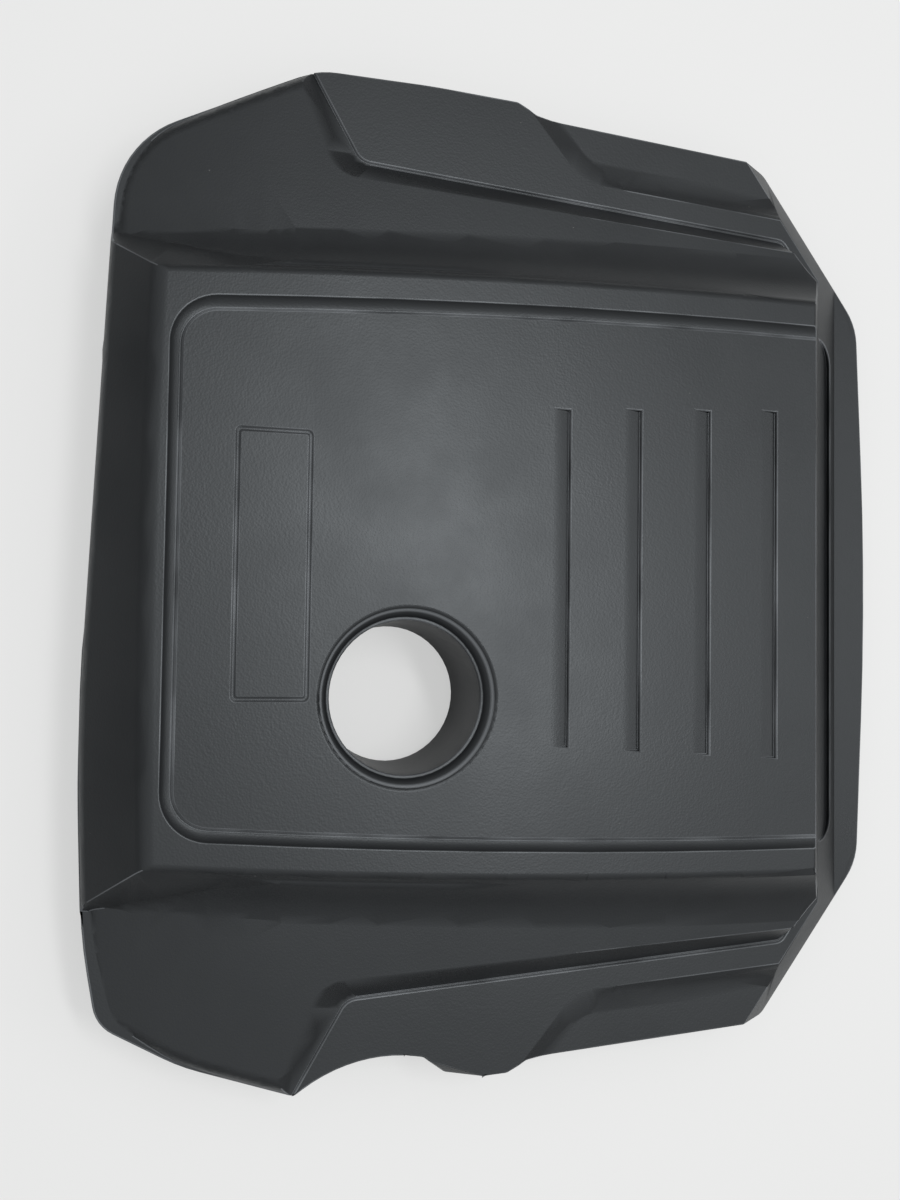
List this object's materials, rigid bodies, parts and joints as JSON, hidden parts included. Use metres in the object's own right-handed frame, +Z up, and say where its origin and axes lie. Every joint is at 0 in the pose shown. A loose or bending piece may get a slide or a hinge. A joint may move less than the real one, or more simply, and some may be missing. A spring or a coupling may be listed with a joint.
{
  "type": "engine cover",
  "caption": "Moulded plastic engine cover with a raised deck, sunk panel with ramped bars, round filler opening, stepped side wings and push-on rubber grommets underneath.",
  "frame": {"origin": "on the floor plane under the lower rim, at the middle of the bounding box", "axes": "+X to the right side with the notch, +Y from the front edge to the back, +Z up out of the deck"},
  "size_m": [0.5819, 0.4929, 0.08],
  "materials": {
    "black_plastic": "fine grained satin black",
    "grommet_rubber": "matt moulded rubber"
  },
  "bodies": {
    "root": {"cover_shell": "black_plastic", "grommet_front_left": "grommet_rubber", "grommet_front_right": "grommet_rubber", "grommet_back_left": "grommet_rubber", "grommet_back_right": "grommet_rubber"}
  },
  "joints": []
}
